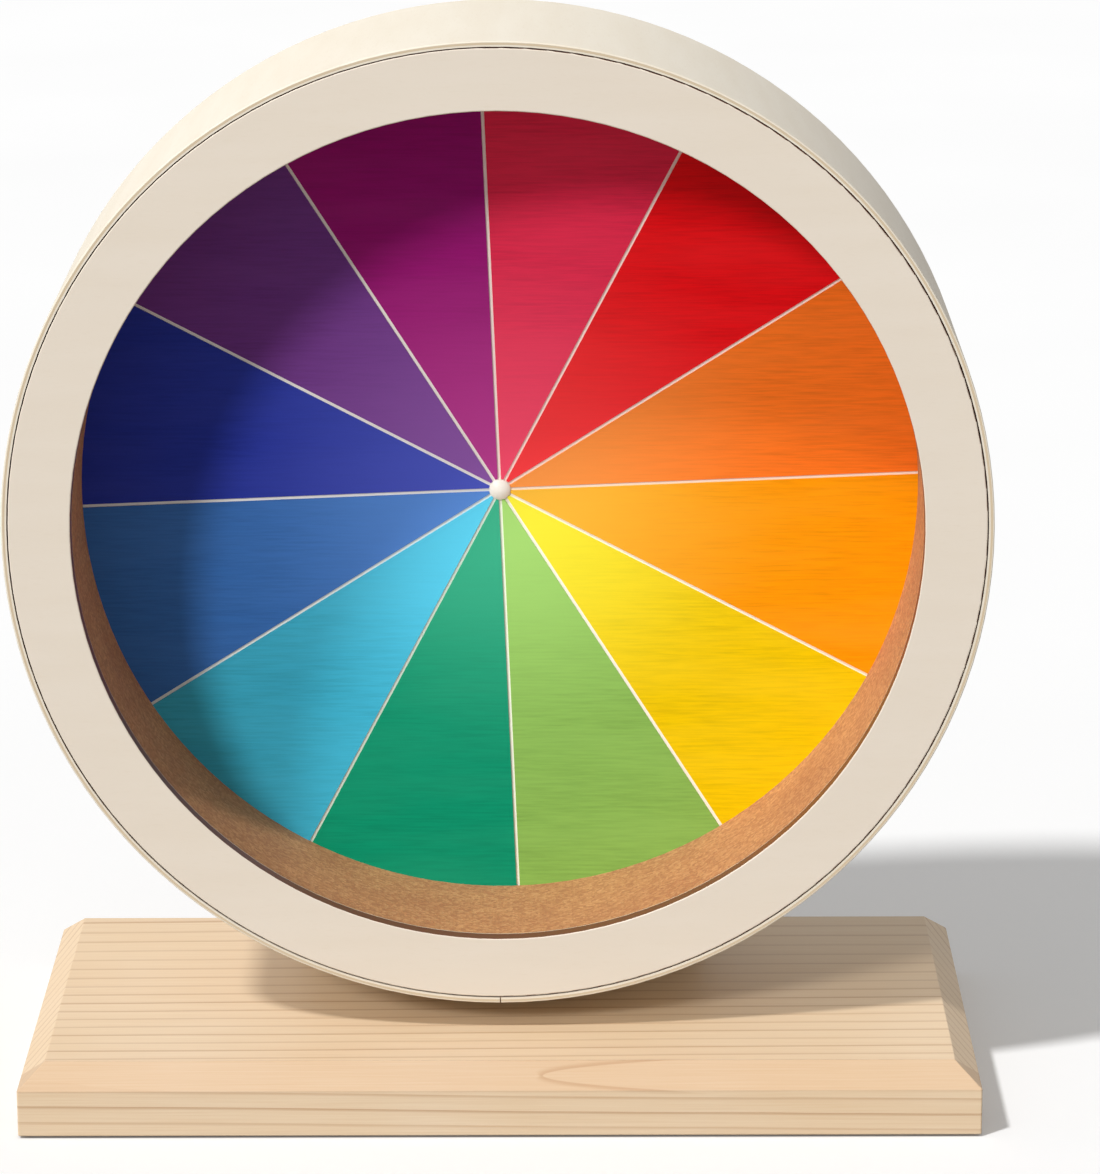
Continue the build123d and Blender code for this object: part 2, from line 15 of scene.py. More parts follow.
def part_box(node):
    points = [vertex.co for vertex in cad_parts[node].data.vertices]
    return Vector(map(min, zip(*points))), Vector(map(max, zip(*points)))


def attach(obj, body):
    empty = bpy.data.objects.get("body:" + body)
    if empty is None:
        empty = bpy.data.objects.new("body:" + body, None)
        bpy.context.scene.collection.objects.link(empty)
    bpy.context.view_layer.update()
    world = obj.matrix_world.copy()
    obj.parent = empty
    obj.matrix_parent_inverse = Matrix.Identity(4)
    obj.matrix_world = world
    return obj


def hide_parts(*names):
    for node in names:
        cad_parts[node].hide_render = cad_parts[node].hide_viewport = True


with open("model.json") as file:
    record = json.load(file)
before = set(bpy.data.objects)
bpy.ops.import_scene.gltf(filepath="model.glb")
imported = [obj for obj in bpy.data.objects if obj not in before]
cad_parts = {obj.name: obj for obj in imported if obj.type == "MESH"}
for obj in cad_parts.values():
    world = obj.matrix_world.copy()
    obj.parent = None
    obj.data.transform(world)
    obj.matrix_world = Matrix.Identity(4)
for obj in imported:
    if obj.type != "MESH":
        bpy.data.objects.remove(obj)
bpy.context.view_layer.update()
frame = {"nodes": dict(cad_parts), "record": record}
nodes = frame["nodes"]
MM = 0.001
AXLE_HEIGHT = (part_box("axle_shaft")[0].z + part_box("axle_shaft")[1].z) / 2
print("nodes:", len(nodes), "axle height in mm:", round(AXLE_HEIGHT / MM, 2))

# %% [markdown]
# ## Camera
# The photograph was taken from a little above the hub with a long lens, so that the drum looks almost round
# and only a thin slice of its top shows. The place and lens were worked out from the circles of the ring,
# of the skin and of the coloured disc.

# %% Place the camera
CAMERA_PLACE = (0.02349, -1.72537, 0.65302)
PITCH = 0.267957
YAW = 0.00304
ROLL = -0.003199
LENS_MM = 151.17
SENSOR_MM = 36
bpy.ops.object.camera_add(location=CAMERA_PLACE)
camera = bpy.context.object
turn = Matrix.Rotation(YAW, 4, "Z") @ Matrix.Rotation(pi / 2 - PITCH, 4, "X") @ Matrix.Rotation(ROLL, 4, "Z")
camera.matrix_world = Matrix.Translation(camera.location) @ turn
camera.data.lens = LENS_MM
camera.data.sensor_width = SENSOR_MM
camera.data.sensor_fit = "AUTO"
bpy.context.scene.camera = camera
bpy.context.scene.view_settings.view_transform = "Standard"
print("camera looks down by degrees:", round(PITCH * 180 / pi, 1))

# %% [markdown]
# ## Colours and nodes
# Every colour is written as the hex value that a picture shows, and one function turns it into the linear
# light that the renderer mixes. Every material is built from small nodes, so one helper adds a node, sets
# it and links it.


# %% Helpers for materials
def linear(hex_value):
    """Turns a colour such as #E8D9C0 into linear red, green, blue and a full alpha."""
    parts = [int(hex_value[i : i + 2], 16) / 255 for i in (1, 3, 5)]
    return [c / 12.92 if c <= 0.04045 else ((c + 0.055) / 1.055) ** 2.4 for c in parts] + [1.0]


def add_node(tree, kind, settings=None, links=None):
    """Adds a node. Keys in small letters are the node's own settings, all others name or number its sockets."""
    node = tree.nodes.new("ShaderNode" + kind)
    for key, value in (settings or {}).items():
        if key == "stops":
            while len(node.color_ramp.elements) < len(value):
                node.color_ramp.elements.new(1)
            for element, (place, colour) in zip(node.color_ramp.elements, value):
                element.position = place
                element.color = linear(colour)
        elif isinstance(key, str) and key[0].islower():
            setattr(node, key, value)
        else:
            node.inputs[key].default_value = value
    for key, source in (links or {}).items():
        output = source if isinstance(source, bpy.types.NodeSocket) else source.outputs[0]
        tree.links.new(output, node.inputs[key])
    return node


finishes = {}


def start_finish(name, roughness, metallic=0.0, ior=1.5):
    """Starts a material with one Principled shader and the place of each point in millimetres."""
    material = bpy.data.materials.new(name)
    material.use_nodes = True
    finishes[name] = material
    tree = material.node_tree
    tree.nodes.clear()
    shader = add_node(tree, "BsdfPrincipled", {"Roughness": roughness, "Metallic": metallic, "IOR": ior})
    add_node(tree, "OutputMaterial", {}, {"Surface": shader})
    place = add_node(tree, "TexCoord")
    millimetres = add_node(tree, "Mapping", {"Scale": (1000, 1000, 1000)}, {"Vector": place.outputs["Object"]})
    return tree, shader, millimetres


def raise_surface(tree, shader, height, depth_mm, strength):
    """Lets a pattern stand out of the surface by a depth in millimetres."""
    bump = add_node(tree, "Bump", {"Strength": strength, "Distance": depth_mm * MM}, {"Height": height})
    tree.links.new(bump.outputs[0], shader.inputs["Normal"])


# %% [markdown]
# Three patterns come back in many finishes. Grain is a noise that is drawn out along the fibres. Marks are
# a second colour, laid over the first where such a noise is strong. Turned metal and bent sheets follow the
# distance from the axle line.


# %% Helpers for patterns
def grain_noise(tree, millimetres, axis, across, along, settings):
    """Noise drawn out along an axis, with the given number of waves per mm across the grain and along it."""
    scale = [across] * 3
    scale[axis] = along
    stretched = add_node(tree, "Mapping", {"Scale": scale}, {"Vector": millimetres})
    return add_node(tree, "TexNoise", {"Scale": 1.0, **settings}, {"Vector": stretched})


def lay_over(tree, below, colour, pattern, low, high, most):
    """Lays a colour over the one below where a pattern rises from low to high, up to a share of most."""
    share = add_node(tree, "MapRange", {"From Min": low, "From Max": high, "To Max": most}, {"Value": pattern})
    settings, links = {"data_type": "RGBA", 7: colour}, {0: share}
    if isinstance(below, bpy.types.NodeSocket):
        links[6] = below
    else:
        settings[6] = below
    return add_node(tree, "Mix", settings, links).outputs[2]


def reach_from_axle(tree, millimetres):
    """The distance of each point from the axle line in mm."""
    axle = (0, 0, AXLE_HEIGHT / MM)
    flat = add_node(tree, "VectorMath", {"operation": "MULTIPLY", 1: (1, 0, 1)}, {0: millimetres})
    return add_node(tree, "VectorMath", {"operation": "DISTANCE", 1: axle}, {0: flat}).outputs["Value"]


# %% [markdown]
# ## Studio
# The key lamp stands high on the left, as the photograph's shadow runs to the right and back. A wide front
# lamp reaches into the drum, where the ring's shadow leaves the top and the left of the coloured disc
# darker.

# %% Hang the lamps
LAMP_DISTANCE = 3
LAMPS = {
    "key": (Vector((-0.473, -0.394, 0.788)), 2.15, radians(5)),
    "front": (Vector((-0.46, -0.74, 0.49)), 1.5, radians(10)),
}


def hang_lamp(direction, strength, spread):
    """Hangs a distant lamp in a direction from the object, with the angle that it fills in the sky."""
    bpy.ops.object.light_add(type="SUN", location=direction * LAMP_DISTANCE)
    lamp = bpy.context.object
    lamp.rotation_euler = direction.to_track_quat("Z", "Y").to_euler()
    lamp.data.energy = strength
    lamp.data.angle = spread
    return lamp


hung = {name: hang_lamp(*lamp) for name, lamp in LAMPS.items()}
print("lamps:", list(hung))

# %% [markdown]
# The world fills the rest from all sides. What the camera and shiny metal see of the world is plain white,
# while the light that falls on the wood stays at a plain level.

# %% Fill from all sides
WHITE = (1, 1, 1, 1)
FILL_STRENGTH = 0.4
world = bpy.data.worlds.new("pale_studio")
bpy.context.scene.world = world
world.use_nodes = True
tree = world.node_tree
tree.nodes.clear()
path = add_node(tree, "LightPath")
seen = path.outputs["Is Camera Ray"]
for ray in ("Is Glossy Ray", "Is Transmission Ray"):
    seen = add_node(tree, "Math", {"operation": "MAXIMUM"}, {0: seen, 1: path.outputs[ray]})
fill = add_node(tree, "Background", {"Color": WHITE, "Strength": FILL_STRENGTH})
white = add_node(tree, "Background", {"Color": WHITE, "Strength": 1.0})
either = add_node(tree, "MixShader", {}, {0: seen, 1: fill, 2: white})
add_node(tree, "OutputWorld", {}, {"Surface": either})
print("fill strength:", FILL_STRENGTH)

# %% [markdown]
# A large floor of matte paper carries the shadow. The camera sees it nearly white and glowing a little,
# while the wood gets the light of a greyer paper back from it. The front lamp is kept off the floor, as a
# studio does with barn doors, so that only one shadow shows there.

# %% Lay the floor
FLOOR_SIZE = 14
FLOOR_GLOW = 0.07
PAPER = [(0.3, "#FBFBFB"), (0.7, "#FDFDFD")]
bpy.ops.object.select_all(action="DESELECT")
bpy.ops.mesh.primitive_plane_add(size=FLOOR_SIZE, location=(0, 0, 0))
floor = bpy.context.object
floor.name = "studio_floor"
tree, shader, millimetres = start_finish("matte_studio_paper", 0.9)
cloud = add_node(tree, "TexNoise", {"Scale": 0.004, "Detail": 2.0}, {"Vector": millimetres})
paper = add_node(tree, "ValToRGB", {"stops": PAPER}, {"Fac": cloud})
by_camera = add_node(tree, "LightPath").outputs["Is Camera Ray"]
paper = add_node(tree, "Mix", {"data_type": "RGBA", 6: linear("#BCBAB8")}, {0: by_camera, 7: paper})
tree.links.new(paper.outputs[2], shader.inputs["Base Color"])
shader.inputs["Specular IOR Level"].default_value = 0.0
glow = add_node(tree, "Math", {"operation": "MULTIPLY", 1: FLOOR_GLOW}, {0: by_camera})
shader.inputs["Emission Color"].default_value = WHITE
tree.links.new(glow.outputs[0], shader.inputs["Emission Strength"])
floor.data.materials.append(finishes["matte_studio_paper"])
shaded = bpy.data.collections.new("kept_from_front_lamp")
shaded.objects.link(floor)
hung["front"].light_linking.receiver_collection = shaded
shaded.collection_objects[0].light_linking.link_state = "EXCLUDE"
print("floor in metres:", tuple(round(v) for v in floor.dimensions))

# %% [markdown]
# ## Pine
# The base and the upright are planed pine. A plank is cut out of a tree's growth rings, so its lines, the
# flame on a bevel and the end grain all belong to one solid pattern. The pattern is made in space: the
# distance from the tree's centre line, divided by the ring spacing, gives the age of the wood at each
# point, and what is left after the whole rings gives the place within one year. Early wood is pale and late
# wood is a narrow darker line. It was planed and oiled, so it shines only softly.
#
# The base's front bevel lies almost along the rings. There one ring comes to the surface as a long flame,
# so its line is drawn by itself, as a curve that opens to the right. As the bevel lies so flat along that
# ring, the late wood close under it also tints the whole bevel a little, and this even tint is also painted
# shade that tones down the light on the bevel.

# %% Draw the flame on the bevel
FLAME_TIP = (15.0, -82.1, 21.85)
FLAME_OPENING = 1.1
FLAME_RIPPLE = 0.55
FLAME_SHARE = 0.4
ACROSS_BEVEL = (0.0, 0.759, 0.651)
BEVEL_REACH = 6.0
BEVEL_TINT_AND_SHADE = 0.55


def flame_line(tree, millimetres, ripple):
    """The share of late wood on the bevel: a parabola's line and an even tint, partly painted shade, within its
    edges.
    """
    off = add_node(tree, "VectorMath", {"operation": "SUBTRACT", 1: FLAME_TIP}, {0: millimetres})
    side = add_node(tree, "VectorMath", {"operation": "DOT_PRODUCT", 1: ACROSS_BEVEL}, {0: off})
    side = side.outputs["Value"]
    side = add_node(tree, "Math", {"operation": "MULTIPLY_ADD", 1: FLAME_RIPPLE}, {0: ripple, 2: side})
    ahead = add_node(tree, "SeparateXYZ", {}, {0: off}).outputs["X"]
    square = add_node(tree, "Math", {"operation": "MULTIPLY"}, {0: side, 1: side})
    # The gap along X, divided by how steep the parabola is there, is nearly the distance from its line in mm.
    gap = add_node(tree, "Math", {"operation": "MULTIPLY_ADD", 1: -FLAME_OPENING}, {0: square, 2: ahead})
    steep = add_node(tree, "Math", {"operation": "MULTIPLY_ADD", 1: 4 * FLAME_OPENING**2, 2: 1.0}, {0: square})
    steep = add_node(tree, "Math", {"operation": "SQRT"}, {0: steep})
    gap = add_node(tree, "Math", {"operation": "DIVIDE"}, {0: gap, 1: steep})
    smooth = {"interpolation_type": "SMOOTHSTEP"}
    soft_side = {**smooth, "From Min": -1.6, "From Max": -0.1}
    sharp_side = {**smooth, "From Min": 0.2, "From Max": 0.6, "To Min": 1.0, "To Max": 0.0}
    line = add_node(tree, "MapRange", soft_side, {"Value": gap})
    end = add_node(tree, "MapRange", sharp_side, {"Value": gap})
    line = add_node(tree, "Math", {"operation": "MULTIPLY"}, {0: line, 1: end})
    wide = add_node(tree, "Math", {"operation": "ABSOLUTE"}, {0: side})
    edge = {"From Min": BEVEL_REACH, "To Max": 0.0}
    near = {**edge, "From Max": BEVEL_REACH + 1.2, "To Min": FLAME_SHARE}
    # The even tint over the bevel is late wood and also painted shade that tones down the light falling on the
    # bevel.
    tint = {**edge, "From Max": BEVEL_REACH + 0.6, "To Min": BEVEL_TINT_AND_SHADE}
    near = add_node(tree, "MapRange", near, {"Value": wide})
    tint = add_node(tree, "MapRange", tint, {"Value": wide})
    line = add_node(tree, "Math", {"operation": "MULTIPLY"}, {0: line, 1: near})
    return add_node(tree, "Math", {"operation": "ADD"}, {0: line, 1: tint})


print("flame starts at x in mm:", FLAME_TIP[0])

# %% [markdown]
# The rings wander slowly as the tree grew, ripple a little from year to year, and aren't all equally
# strong. Fine fibres run through all of it. They are drawn about half a millimetre wide, coarser than real
# ones, so that they show.

# %% Make planed pine
LATE_WOOD = [
    (0.0, "#5A5A5A"),
    (0.07, "#000000"),
    (0.5, "#0C0C0C"),
    (0.8, "#4A4A4A"),
    (0.9, "#E0E0E0"),
    (0.97, "#FFFFFF"),
]


def make_pine(name, along, heart, ring_mm, lean, wander_mm, with_flame=False):
    """Pine with its fibres along an axis (0 or 2), round a heart line, whose rings lean by lean per mm."""
    tree, shader, millimetres = start_finish(name, 0.52, ior=1.47)
    across = [1.0, 1.0, 1.0]
    across[along] = 0.0
    slope = [0.0, 0.0, 0.0]
    slope[along] = lean
    flat = add_node(tree, "VectorMath", {"operation": "MULTIPLY", 1: across}, {0: millimetres})
    age = add_node(tree, "VectorMath", {"operation": "DISTANCE", 1: heart}, {0: flat}).outputs["Value"]
    drift = add_node(tree, "VectorMath", {"operation": "DOT_PRODUCT", 1: slope}, {0: millimetres})
    wander = grain_noise(tree, millimetres, along, 1 / 55, 1 / 210, {"Detail": 2.0, "Roughness": 0.4})
    wander = add_node(tree, "MapRange", {"To Min": -wander_mm, "To Max": wander_mm}, {"Value": wander})
    ripple = grain_noise(tree, millimetres, along, 1 / 9, 1 / 70, {"Detail": 2.0})
    ripple = add_node(tree, "MapRange", {"To Min": -0.3, "To Max": 0.3}, {"Value": ripple})
    for shift in (drift.outputs["Value"], wander, ripple):
        age = add_node(tree, "Math", {"operation": "ADD"}, {0: age, 1: shift})
    rings = add_node(tree, "Math", {"operation": "DIVIDE", 1: ring_mm}, {0: age})
    year = add_node(tree, "Math", {"operation": "FRACT"}, {0: rings})
    number = add_node(tree, "Math", {"operation": "FLOOR"}, {0: rings})
    strong = add_node(tree, "TexWhiteNoise", {"noise_dimensions": "1D"}, {"W": number})
    strong = add_node(tree, "MapRange", {"To Min": 0.45, "To Max": 1.0}, {"Value": strong.outputs["Value"]})
    late = add_node(tree, "ValToRGB", {"stops": LATE_WOOD}, {"Fac": year})
    late = add_node(tree, "Math", {"operation": "MULTIPLY"}, {0: late, 1: strong})
    if with_flame:
        flame = flame_line(tree, millimetres, ripple)
        late = add_node(tree, "Math", {"operation": "MAXIMUM"}, {0: late, 1: flame})
    fibre = grain_noise(tree, millimetres, along, 2.2, 1 / 45, {"Detail": 3.0, "Roughness": 0.6})
    tone = add_node(tree, "TexNoise", {"Scale": 0.012, "Detail": 2.0}, {"Vector": millimetres})
    early = add_node(tree, "Mix", {"data_type": "RGBA", 6: linear("#E4D1B7"), 7: linear("#DBC09C")}, {0: tone})
    early = lay_over(tree, early.outputs[2], linear("#CBA67B"), fibre, 0.3, 0.7, 0.34)
    depth = add_node(tree, "Math", {"operation": "MULTIPLY", 1: 0.62}, {0: late})
    colour = add_node(tree, "Mix", {"data_type": "RGBA", 7: linear("#A2744A")}, {0: depth, 6: early})
    tree.links.new(colour.outputs[2], shader.inputs["Base Color"])
    relief = add_node(tree, "Math", {"operation": "MULTIPLY_ADD", 1: 0.5}, {0: late, 2: fibre})
    raise_surface(tree, shader, relief, 0.035, 0.6)


BASE_HEART = (0.0, 291.0, -476.75)
UPRIGHT_HEART = (22.0, 20.0, 0.0)
make_pine("planed_pine_base", 0, BASE_HEART, ring_mm=4.6, lean=0.008, wander_mm=0.9, with_flame=True)
make_pine("planed_pine_upright", 2, UPRIGHT_HEART, ring_mm=5.2, lean=0.03, wander_mm=2.2)
print("pine finishes:", [name for name in finishes if "pine" in name])

# %% [markdown]
# ## Birch plywood
# The ring, the skin and the hoop are birch plywood: thin layers of veneer with the grain turned at each
# glue line. On a face only the outermost layer shows, and on a cut edge all of them do. So the layers are
# again a pattern in space: their number is counted across the sheet, straight through for a flat sheet and
# outwards from the axle for a bent one. A saw or a laser leaves the cut edges browner than the sanded
# faces.


# %% Make birch plywood
GLUE_LINE = [(0.0, "#FFFFFF"), (0.09, "#000000"), (0.91, "#000000"), (1.0, "#FFFFFF")]


def make_plywood(name, face, layer, bent, start, layer_mm, layers, grain_axis, edge=None):
    """Plywood whose layers are counted along Y, or outwards from the axle when bent, from a start in mm."""
    tree, shader, millimetres = start_finish(name, 0.5, ior=1.47)
    if bent:
        depth = reach_from_axle(tree, millimetres)
    else:
        depth = add_node(tree, "SeparateXYZ", {}, {0: millimetres}).outputs["Y"]
    depth = add_node(tree, "Math", {"operation": "SUBTRACT", 1: start}, {0: depth})
    depth = add_node(tree, "Math", {"operation": "DIVIDE", 1: layer_mm}, {0: depth})
    depth = add_node(tree, "Clamp", {"Min": 0.01, "Max": layers - 0.01}, {"Value": depth})
    half = add_node(tree, "Math", {"operation": "MULTIPLY", 1: 0.5}, {0: depth})
    turned = add_node(tree, "Math", {"operation": "FRACT"}, {0: half})
    turned = add_node(tree, "Math", {"operation": "GREATER_THAN", 1: 0.5}, {0: turned})
    within = add_node(tree, "Math", {"operation": "FRACT"}, {0: depth})
    glue = add_node(tree, "ValToRGB", {"stops": GLUE_LINE}, {"Fac": within})
    fleck = grain_noise(tree, millimetres, grain_axis, 1.3, 1 / 5, {"Detail": 3.0})
    cloud = grain_noise(tree, millimetres, grain_axis, 1 / 9, 1 / 60, {"Detail": 3.0})
    colour = lay_over(tree, linear(face), linear(layer), cloud, 0.3, 0.7, 0.16)
    colour = lay_over(tree, colour, linear(layer), fleck, 0.56, 0.8, 0.18)
    dark = add_node(tree, "Math", {"operation": "MULTIPLY", 1: 0.8}, {0: turned})
    colour = add_node(tree, "Mix", {"data_type": "RGBA", 7: linear(layer)}, {0: dark, 6: colour})
    line = add_node(tree, "Math", {"operation": "MULTIPLY", 1: 0.55}, {0: glue.outputs[0]})
    inner = add_node(tree, "Math", {"operation": "COMPARE", 1: layers / 2, 2: layers / 2 - 0.25}, {0: depth})
    line = add_node(tree, "Math", {"operation": "MULTIPLY"}, {0: line, 1: inner})
    colour = add_node(tree, "Mix", {"data_type": "RGBA", 7: linear("#8A5E3A")}, {0: line, 6: colour.outputs[2]})
    if edge:
        burnt = add_node(tree, "Math", {"operation": "MULTIPLY", 1: 0.95}, {0: inner})
        colour = add_node(tree, "Mix", {"data_type": "RGBA", 7: linear(edge)}, {0: burnt, 6: colour.outputs[2]})
    tree.links.new(colour.outputs[2], shader.inputs["Base Color"])
    raise_surface(tree, shader, fleck, 0.02, 0.5)


# %% [markdown]
# The flat sheets are 6 mm plywood of five layers, counted from their front face. The skin and the track are
# bent plywood of three layers, counted from their inner radius, with the grain along the axle so that they
# bend easily.

# %% Count each sheet's layers
SHEET = {"bent": False, "layer_mm": 1.2, "layers": 5, "grain_axis": 0}
BENT_SHEET = {"bent": True, "layers": 3, "grain_axis": 1}
SKIN_INNER = 173.0
SKIN_LAYER = 0.667
TRACK_INNER = 154.6
ring_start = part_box("front_ring")[0].y / MM
disc_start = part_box("back_disc")[0].y / MM
hoop_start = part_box("rear_hoop")[0].y / MM
make_plywood("sanded_birch_ring", "#DDD2C3", "#CFBFA8", start=ring_start, edge="#6A2E16", **SHEET)
make_plywood("sanded_birch_hoop", "#DDD0BA", "#C6AC88", start=hoop_start, **SHEET)
make_plywood("sanded_birch_disc", "#FFFAF0", "#F0E2CC", start=disc_start, **SHEET)
make_plywood("bent_birch_skin", "#E2D9C8", "#C6B18F", start=SKIN_INNER, layer_mm=SKIN_LAYER, **BENT_SHEET)
make_plywood("bent_ply_track", "#B98B5E", "#8E6238", start=TRACK_INNER, layer_mm=1.0, **BENT_SHEET)
print("ring face at y in mm:", round(ring_start, 2), "disc face:", round(disc_start, 2))

# %% [markdown]
# ## Cork
# The running surface is fine-grained cork, bound in sheet and glued round the track. Cork is a crush of
# small grains, each a little lighter or darker, with dark bark between some of them. A cell pattern gives
# the grains, 1.2 mm across, and a finer one the bark.

# %% Make bound cork
CORK_GRAINS = [(0.0, "#925F40"), (0.5, "#B88255"), (1.0, "#DAA874")]
tree, shader, millimetres = start_finish("bound_cork_sheet", 0.85)
grain = add_node(tree, "TexVoronoi", {"Scale": 0.85, "Randomness": 1.0}, {"Vector": millimetres})
value = add_node(tree, "SeparateColor", {}, {0: grain.outputs["Color"]})
soft = add_node(tree, "TexNoise", {"Scale": 0.05, "Detail": 3.0}, {"Vector": millimetres})
speck = add_node(tree, "TexNoise", {"Scale": 1.7, "Detail": 4.0, "Roughness": 0.7}, {"Vector": millimetres})
colour = add_node(tree, "ValToRGB", {"stops": CORK_GRAINS}, {"Fac": value})
colour = add_node(tree, "Mix", {"data_type": "RGBA", 0: 0.5, 7: linear("#C28A5B")}, {6: colour})
colour = lay_over(tree, colour.outputs[2], linear("#6B3A20"), speck, 0.58, 0.74, 0.6)
colour = lay_over(tree, colour, linear("#94583A"), soft, 0.3, 0.7, 0.3)
tree.links.new(colour, shader.inputs["Base Color"])
rough = add_node(tree, "Math", {"operation": "ADD"}, {0: grain.outputs["Distance"], 1: speck})
raise_surface(tree, shader, rough, 0.12, 0.7)
print("cork grain in mm:", round(1 / 0.85, 1))

# %% [markdown]
# ## Stained veneer
# The twelve sectors are thin veneers, stained right through and brushed to a satin surface. Stain sinks
# deeper into open pores, so fine horizontal streaks stay a little darker, and the brush leaves shallow
# lines beside them. Towards the middle the colour is painted a little lighter, a painted sheen of light on
# the satin. Each sector has its own stain, and all share one recipe. The streaks are drawn about 1 mm high,
# coarser than real pores, because finer ones don't show.

# %% Make stained veneers
STAINS = {
    "crimson": "#EA2A50",
    "red": "#F00A14",
    "vermilion": "#FF7A20",
    "orange": "#FF9C00",
    "yellow": "#EFCB00",
    "lime": "#8ABA58",
    "green": "#06946E",
    "cyan": "#3FB4D2",
    "blue": "#3A70B8",
    "indigo": "#2636A0",
    "violet": "#6E3688",
    "magenta": "#9A0874",
}
# Painted sheen: within this reach of the axle the stains are painted lighter, standing in for light on the
# satin.
PAINTED_SHEEN_REACH = 110.0


def make_stain(name, value):
    """Satin stained veneer with fine streaks along X, painted lighter towards the hub as a sheen of light."""
    tree, shader, millimetres = start_finish(name, 0.5, ior=1.45)
    shader.inputs["Specular IOR Level"].default_value = 0.1
    fine = add_node(tree, "Mapping", {"Scale": (1 / 18, 1.0, 1.1)}, {"Vector": millimetres})
    streak = add_node(tree, "TexNoise", {"Scale": 1.0, "Detail": 4.0, "Roughness": 0.6}, {"Vector": fine})
    slow = add_node(tree, "Mapping", {"Scale": (1 / 90, 1.0, 1 / 16)}, {"Vector": millimetres})
    cloud = add_node(tree, "TexNoise", {"Scale": 1.0, "Detail": 2.0}, {"Vector": slow})
    pure = linear(value)[:3]
    deep = [c * 0.68 for c in pure] + [1.0]
    light = [min(1.0, c * 1.05 + 0.012) for c in pure] + [1.0]
    clear = [min(1.0, c * 1.45 + 0.05) for c in pure] + [1.0]
    colour = lay_over(tree, linear(value), deep, streak, 0.4, 0.7, 0.6)
    colour = lay_over(tree, colour, light, cloud, 0.4, 0.7, 0.5)
    # Painted highlight: a lighter, clearer colour towards the hub stands in for the sheen of light there.
    sheen_falloff = {"interpolation_type": "SMOOTHSTEP", "From Max": PAINTED_SHEEN_REACH, "To Min": 1.0, "To Max": 0.0}
    painted_sheen = add_node(tree, "MapRange", sheen_falloff, {"Value": reach_from_axle(tree, millimetres)})
    colour = add_node(tree, "Mix", {"data_type": "RGBA", 7: clear}, {0: painted_sheen, 6: colour})
    tree.links.new(colour.outputs[2], shader.inputs["Base Color"])
    raise_surface(tree, shader, streak, 0.03, 0.5)


for stain, value in STAINS.items():
    make_stain("stained_veneer_" + stain, value)
print("stains:", len(STAINS))

# %% [markdown]
# ## Metals and moulded pieces
# The hardware is plain: turned aluminium for the housing and the coupling, ground and zinc-plated steel for
# axle and screws, polished steel for the bearings. Turning leaves fine rings round the axle line, so the
# metal's roughness is varied by the distance from that line.


# %% Make turned and plated metals
def make_metal(name, colour, worn, roughness, groove_mm):
    """A metal turned round the axle line, with a groove spacing in mm."""
    tree, shader, millimetres = start_finish(name, roughness, 1.0)
    depth = add_node(tree, "SeparateXYZ", {}, {0: millimetres}).outputs["Y"]
    both = add_node(tree, "CombineXYZ", {}, {"X": reach_from_axle(tree, millimetres), "Y": depth})
    lines = add_node(tree, "TexNoise", {"Scale": 1 / groove_mm, "Detail": 2.0}, {"Vector": both})
    haze = add_node(tree, "TexNoise", {"Scale": 0.35, "Detail": 3.0}, {"Vector": millimetres})
    tint = add_node(tree, "Mix", {"data_type": "RGBA", 6: linear(colour), 7: linear(worn)}, {0: haze})
    tree.links.new(tint.outputs[2], shader.inputs["Base Color"])
    uneven = {"From Min": 0.3, "From Max": 0.7, "To Min": roughness * 0.75, "To Max": roughness * 1.3}
    rough = add_node(tree, "MapRange", uneven, {"Value": lines})
    tree.links.new(rough.outputs[0], shader.inputs["Roughness"])
    raise_surface(tree, shader, lines, 0.01, 0.35)


# Turned aluminium is a pale grey whose fine rings spread each highlight.
make_metal("turned_aluminium", "#CBCCCE", "#BDBFC2", 0.34, 0.25)
# Ground steel is darker, and its grinding marks leave the highlight a little sharper.
make_metal("ground_steel", "#BDBEC0", "#A9ABAE", 0.3, 0.3)
# Zinc plating is a slightly warm grey with a soft haze.
make_metal("zinc_plated_steel", "#C8C7C0", "#B5B5B0", 0.36, 0.5)
# Bearing steel is polished, so it mirrors the pale studio.
make_metal("polished_bearing_steel", "#CFD1D3", "#C2C4C8", 0.14, 0.3)
print("finishes with metals:", len(finishes))

# %% [markdown]
# Nylon, rubber and the cap are moulded. A mould leaves an even surface, so these are only slightly mottled,
# and what tells them apart is how far they shine.


# %% Make moulded finishes
def make_moulded(name, colour, shade, roughness, mottle_mm):
    """A moulded piece with a soft mottle of the given size."""
    tree, shader, millimetres = start_finish(name, roughness)
    mottle = add_node(tree, "TexNoise", {"Scale": 1 / mottle_mm, "Detail": 4.0}, {"Vector": millimetres})
    tint = add_node(tree, "Mix", {"data_type": "RGBA", 6: linear(colour), 7: linear(shade)}, {0: mottle})
    tree.links.new(tint.outputs[2], shader.inputs["Base Color"])
    raise_surface(tree, shader, mottle, 0.03, 0.4)


# Natural nylon is a milky ivory with a soft shine.
make_moulded("natural_nylon", "#DCD3BC", "#CEC3A8", 0.45, 3.0)
# The cap is cream plastic with a satin shine, a small pale spot on the colours.
make_moulded("moulded_cap", "#FFFBF2", "#FBF3E4", 0.42, 2.0)
# Soft rubber is a warm grey that hardly shines.
make_moulded("soft_grey_rubber", "#5E5953", "#504B46", 0.8, 1.2)
print("finishes with moulded ones:", len(finishes))

# %% [markdown]
# Beech is a close-grained hardwood. Its mark is a rain of short dark dashes along the grain, here drawn
# with a noise that is stretched along the axle line, because dowels and boss are turned along their fibres.

